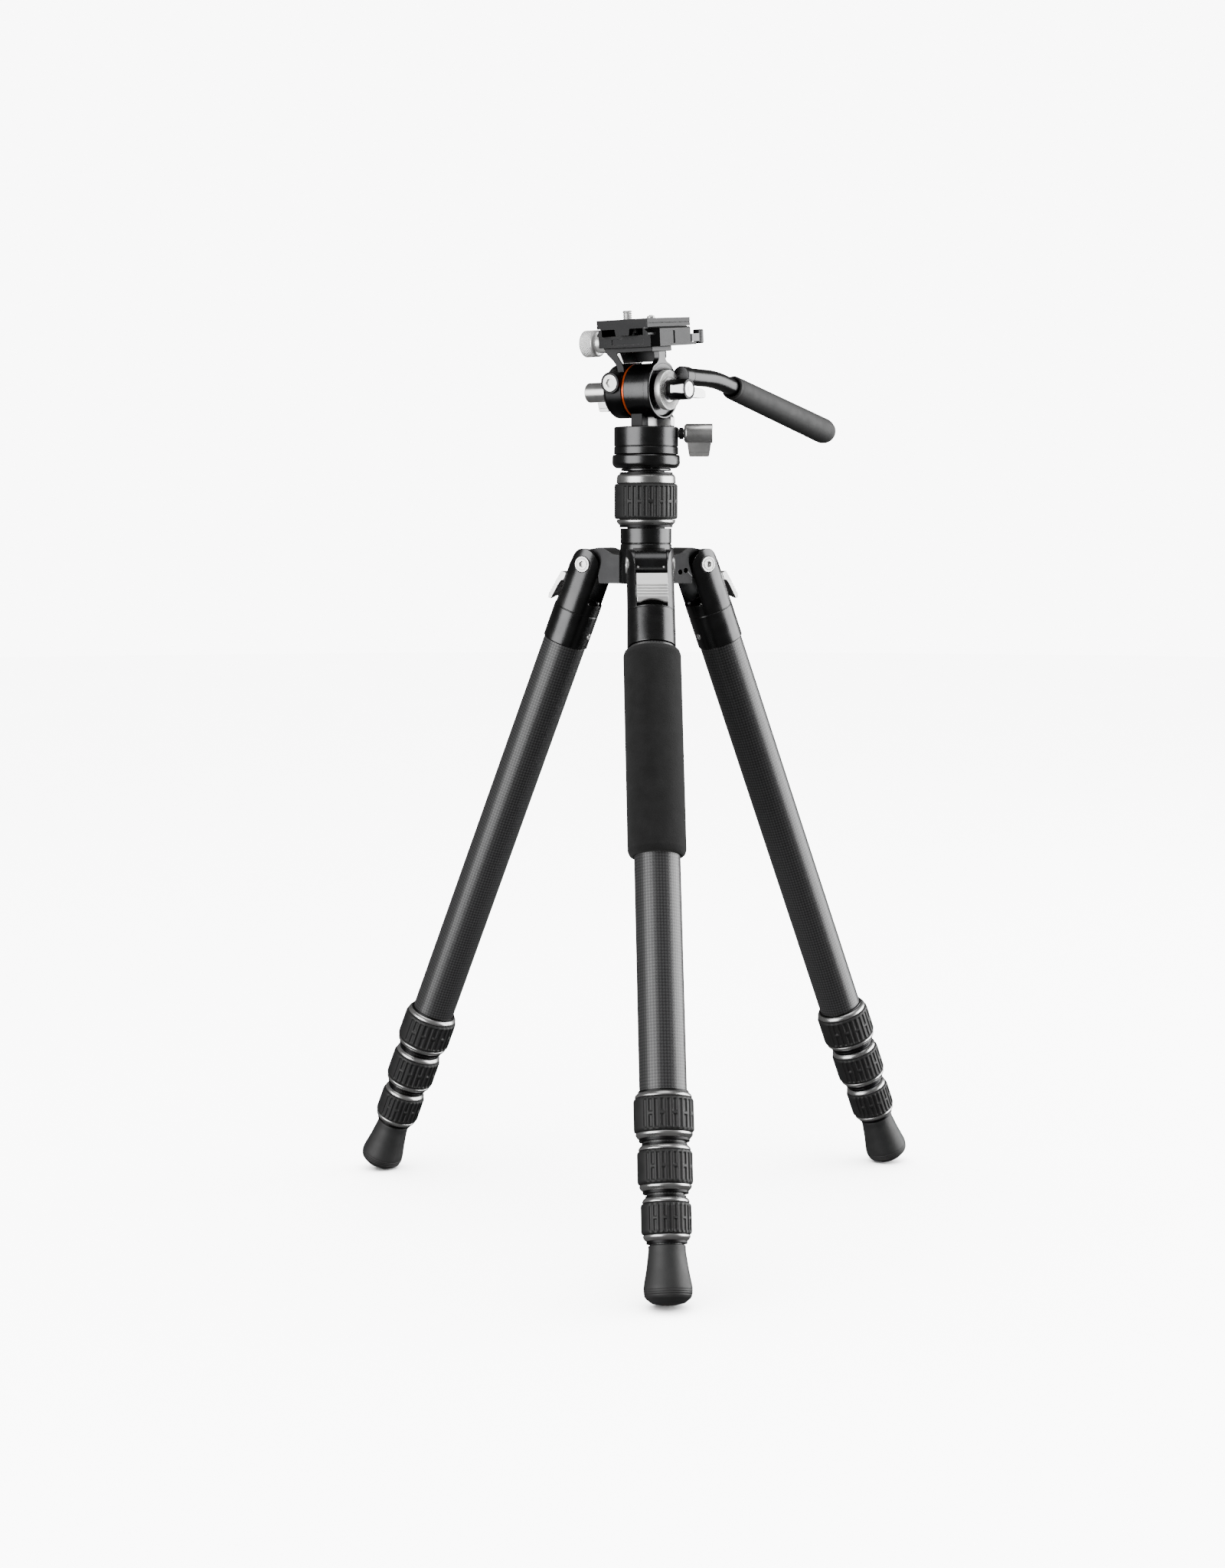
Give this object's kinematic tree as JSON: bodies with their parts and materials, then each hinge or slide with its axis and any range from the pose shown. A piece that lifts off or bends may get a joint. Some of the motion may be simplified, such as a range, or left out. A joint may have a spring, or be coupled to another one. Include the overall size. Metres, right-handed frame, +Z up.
{
  "type": "tripod with fluid head",
  "caption": "Collapsed carbon travel tripod on spread legs, with a centre column and a compact fluid video head that pans, tilts and holds a camera on a quick-release plate.",
  "frame": {"origin": "on the floor, under the middle of the standing tripod's bounding box", "axes": "+Z up; the front leg points to -Y; the other two legs point 120 degrees either side of it"},
  "size_m": [0.3812, 0.3686, 0.5788],
  "materials": {
    "black_metal": "black anodised, satin",
    "carbon": "woven carbon fibre under a thin clear coat",
    "lock_rubber": "moulded ribbed rubber",
    "foot_rubber": "smooth matt rubber",
    "foam": "closed-cell foam, matt",
    "silver_metal": "clear anodised, fine satin",
    "steel": "bright turned steel",
    "orange_metal": "orange anodised"
  },
  "bodies": {
    "hub": {"leg_hub": "black_metal"},
    "front_leg": {"front_leg_casting": "black_metal", "front_hinge_pin": "steel", "front_leg_tube_1": "carbon", "foam_grip": "foam"},
    "front_tab": {"front_angle_tab": "silver_metal"},
    "front_lock_1": {"front_twist_lock_1": "lock_rubber"},
    "front_lock_2": {"front_twist_lock_2": "lock_rubber"},
    "front_lock_3": {"front_twist_lock_3": "lock_rubber"},
    "front_section_2": {"front_leg_tube_2": "carbon"},
    "front_section_3": {"front_leg_tube_3": "carbon"},
    "front_section_4": {"front_leg_tube_4": "carbon", "front_foot": "foot_rubber"},
    "right_leg": {"right_leg_casting": "black_metal", "right_hinge_pin": "steel", "right_leg_tube_1": "carbon"},
    "right_tab": {"right_angle_tab": "silver_metal"},
    "right_lock_1": {"right_twist_lock_1": "lock_rubber"},
    "right_lock_2": {"right_twist_lock_2": "lock_rubber"},
    "right_lock_3": {"right_twist_lock_3": "lock_rubber"},
    "right_section_2": {"right_leg_tube_2": "carbon"},
    "right_section_3": {"right_leg_tube_3": "carbon"},
    "right_section_4": {"right_leg_tube_4": "carbon", "right_foot": "foot_rubber"},
    "left_leg": {"left_leg_casting": "black_metal", "left_hinge_pin": "steel", "left_leg_tube_1": "carbon"},
    "left_tab": {"left_angle_tab": "silver_metal"},
    "left_lock_1": {"left_twist_lock_1": "lock_rubber"},
    "left_lock_2": {"left_twist_lock_2": "lock_rubber"},
    "left_lock_3": {"left_twist_lock_3": "lock_rubber"},
    "left_section_2": {"left_leg_tube_2": "carbon"},
    "left_section_3": {"left_leg_tube_3": "carbon"},
    "left_section_4": {"left_leg_tube_4": "carbon", "left_foot": "foot_rubber"},
    "column_lock": {"column_lock": "lock_rubber"},
    "column": {"column_tube": "carbon", "column_top": "black_metal", "weight_hook": "silver_metal", "pan_base": "black_metal"},
    "pan": {"pan_housing": "black_metal", "tilt_drum": "black_metal", "tilt_axle": "steel", "accent_ring": "orange_metal"},
    "pan_knob": {"pan_lock_knob": "silver_metal"},
    "tilt": {"tilt_carrier": "black_metal", "ear_screw": "steel", "tilt_flange": "black_metal", "clamp_body": "black_metal"},
    "tilt_knob": {"tilt_lock_knob": "silver_metal"},
    "clamp_jaw": {"clamp_jaw": "black_metal"},
    "clamp_knob": {"clamp_knob": "steel"},
    "catch": {"safety_catch": "black_metal"},
    "plate": {"quick_release_plate": "black_metal"},
    "camera_screw": {"camera_screw": "steel"},
    "locating_pin": {"locating_pin": "steel"},
    "handle": {"handle_rosette": "silver_metal", "handle_bar": "black_metal", "handle_grip": "foot_rubber"},
    "handle_knob": {"handle_lock_knob": "black_metal"}
  },
  "joints": [
    {"name": "front_leg_spread", "type": "hinge", "parent": "hub", "child": "front_leg", "pos_m": [0, -0.0046, 0.42061], "axis": [-1, 0, 0], "range_deg": [-22, 60]},
    {"name": "front_tab_pull", "type": "hinge", "parent": "front_leg", "child": "front_tab", "pos_m": [0, -0.0217, 0.4135], "axis": [-1, 0, 0], "range_deg": [0, 18], "stiffness_Nm_per_rad": 0.05, "springref_deg": -11.46},
    {"name": "front_lock_1_twist", "type": "hinge", "parent": "front_leg", "child": "front_lock_1", "pos_m": [0, -0.13316, 0.1024], "axis": [0, -0.3746, -0.9272], "range_deg": [0, 90]},
    {"name": "front_lock_2_twist", "type": "hinge", "parent": "front_section_2", "child": "front_lock_2", "pos_m": [0, -0.14451, 0.0743], "axis": [0, -0.3746, -0.9272], "range_deg": [0, 90]},
    {"name": "front_lock_3_twist", "type": "hinge", "parent": "front_section_3", "child": "front_lock_3", "pos_m": [0, -0.15545, 0.04723], "axis": [0, -0.3746, -0.9272], "range_deg": [0, 90]},
    {"name": "front_section_2_slide", "type": "slide", "parent": "front_leg", "child": "front_section_2", "axis": [0, -0.3746, -0.9272], "range_m": [0, 0.24]},
    {"name": "front_section_3_slide", "type": "slide", "parent": "front_section_2", "child": "front_section_3", "axis": [0, -0.3746, -0.9272], "range_m": [0, 0.24]},
    {"name": "front_section_4_slide", "type": "slide", "parent": "front_section_3", "child": "front_section_4", "axis": [0, -0.3746, -0.9272], "range_m": [0, 0.24]},
    {"name": "right_leg_spread", "type": "hinge", "parent": "hub", "child": "right_leg", "pos_m": [0.03325, 0.053, 0.42061], "axis": [0.5, -0.866, 0], "range_deg": [-22, 60]},
    {"name": "right_tab_pull", "type": "hinge", "parent": "right_leg", "child": "right_tab", "pos_m": [0.04807, 0.06156, 0.4135], "axis": [0.5, -0.866, 0], "range_deg": [0, 18], "stiffness_Nm_per_rad": 0.05, "springref_deg": -11.46},
    {"name": "right_lock_1_twist", "type": "hinge", "parent": "right_leg", "child": "right_lock_1", "pos_m": [0.1446, 0.11729, 0.1024], "axis": [0.3244, 0.1873, -0.9272], "range_deg": [0, 90]},
    {"name": "right_lock_2_twist", "type": "hinge", "parent": "right_section_2", "child": "right_lock_2", "pos_m": [0.15443, 0.12296, 0.0743], "axis": [0.3244, 0.1873, -0.9272], "range_deg": [0, 90]},
    {"name": "right_lock_3_twist", "type": "hinge", "parent": "right_section_3", "child": "right_lock_3", "pos_m": [0.1639, 0.12843, 0.04723], "axis": [0.3244, 0.1873, -0.9272], "range_deg": [0, 90]},
    {"name": "right_section_2_slide", "type": "slide", "parent": "right_leg", "child": "right_section_2", "axis": [0.3244, 0.1873, -0.9272], "range_m": [0, 0.24]},
    {"name": "right_section_3_slide", "type": "slide", "parent": "right_section_2", "child": "right_section_3", "axis": [0.3244, 0.1873, -0.9272], "range_m": [0, 0.24]},
    {"name": "right_section_4_slide", "type": "slide", "parent": "right_section_3", "child": "right_section_4", "axis": [0.3244, 0.1873, -0.9272], "range_m": [0, 0.24]},
    {"name": "left_leg_spread", "type": "hinge", "parent": "hub", "child": "left_leg", "pos_m": [-0.03325, 0.053, 0.42061], "axis": [0.5, 0.866, 0], "range_deg": [-22, 60]},
    {"name": "left_tab_pull", "type": "hinge", "parent": "left_leg", "child": "left_tab", "pos_m": [-0.04807, 0.06156, 0.4135], "axis": [0.5, 0.866, 0], "range_deg": [0, 18], "stiffness_Nm_per_rad": 0.05, "springref_deg": -11.46},
    {"name": "left_lock_1_twist", "type": "hinge", "parent": "left_leg", "child": "left_lock_1", "pos_m": [-0.1446, 0.11729, 0.1024], "axis": [-0.3244, 0.1873, -0.9272], "range_deg": [0, 90]},
    {"name": "left_lock_2_twist", "type": "hinge", "parent": "left_section_2", "child": "left_lock_2", "pos_m": [-0.15443, 0.12296, 0.0743], "axis": [-0.3244, 0.1873, -0.9272], "range_deg": [0, 90]},
    {"name": "left_lock_3_twist", "type": "hinge", "parent": "left_section_3", "child": "left_lock_3", "pos_m": [-0.1639, 0.12843, 0.04723], "axis": [-0.3244, 0.1873, -0.9272], "range_deg": [0, 90]},
    {"name": "left_section_2_slide", "type": "slide", "parent": "left_leg", "child": "left_section_2", "axis": [-0.3244, 0.1873, -0.9272], "range_m": [0, 0.24]},
    {"name": "left_section_3_slide", "type": "slide", "parent": "left_section_2", "child": "left_section_3", "axis": [-0.3244, 0.1873, -0.9272], "range_m": [0, 0.24]},
    {"name": "left_section_4_slide", "type": "slide", "parent": "left_section_3", "child": "left_section_4", "axis": [-0.3244, 0.1873, -0.9272], "range_m": [0, 0.24]},
    {"name": "column_lock_twist", "type": "hinge", "parent": "hub", "child": "column_lock", "pos_m": [0, 0.03381, 0.46141], "axis": [0, 0, 1], "range_deg": [0, 90]},
    {"name": "column_slide", "type": "slide", "parent": "hub", "child": "column", "axis": [0, 0, 1], "range_m": [0, 0.15]},
    {"name": "pan", "type": "hinge", "parent": "column", "child": "pan", "pos_m": [0, 0.03381, 0.49041], "axis": [0, 0, 1], "continuous": true},
    {"name": "pan_knob_turn", "type": "hinge", "parent": "pan", "child": "pan_knob", "pos_m": [0.02989, 0.03119, 0.50341], "axis": [0.9962, -0.0872, 0], "range_deg": [0, 180]},
    {"name": "tilt", "type": "hinge", "parent": "pan", "child": "tilt", "pos_m": [0, 0.03381, 0.53021], "axis": [0.7986, -0.6018, 0], "range_deg": [-30, 85]},
    {"name": "tilt_knob_turn", "type": "hinge", "parent": "tilt", "child": "tilt_knob", "pos_m": [-0.02795, 0.05487, 0.53021], "axis": [-0.7986, 0.6018, 0], "range_deg": [0, 180]},
    {"name": "handle_angle", "type": "hinge", "parent": "tilt", "child": "handle", "pos_m": [0.01278, 0.02418, 0.53021], "axis": [0.7986, -0.6018, 0], "range_deg": [-20, 15]},
    {"name": "handle_knob_turn", "type": "hinge", "parent": "handle", "child": "handle_knob", "pos_m": [0.02076, 0.01816, 0.53021], "axis": [0.7986, -0.6018, 0], "range_deg": [0, 180]},
    {"name": "clamp_knob_turn", "type": "hinge", "parent": "tilt", "child": "clamp_knob", "pos_m": [-0.02559, 0.0497, 0.56109], "axis": [-0.7986, 0.6018, 0], "range_deg": [0, 720]},
    {"name": "clamp_jaw_slide", "type": "slide", "parent": "tilt", "child": "clamp_jaw", "axis": [-0.7986, 0.6018, 0], "range_m": [0, 0.003]},
    {"name": "catch_turn", "type": "hinge", "parent": "tilt", "child": "catch", "pos_m": [0.0283, 0.04045, 0.56177], "axis": [0.0525, 0.0696, -0.9962], "range_deg": [0, 35], "stiffness_Nm_per_rad": 0.02, "springref_deg": -11.46},
    {"name": "plate_slide", "type": "slide", "parent": "tilt", "child": "plate", "axis": [-0.5995, -0.7956, -0.0872], "range_m": [0, 0.03]},
    {"name": "camera_screw_turn", "type": "hinge", "parent": "plate", "child": "camera_screw", "pos_m": [-0.01285, 0.01675, 0.57351], "axis": [-0.0525, -0.0696, 0.9962], "continuous": true},
    {"name": "locating_pin_press", "type": "slide", "parent": "plate", "child": "locating_pin", "axis": [0.0525, 0.0696, -0.9962], "range_m": [0, 0.002], "stiffness_N_per_m": 400, "springref_m": -0.002}
  ],
  "couplings": [
    {"joint": "clamp_jaw_slide", "follows": "clamp_knob_turn", "m_per_rad": 0.00023873}
  ]
}
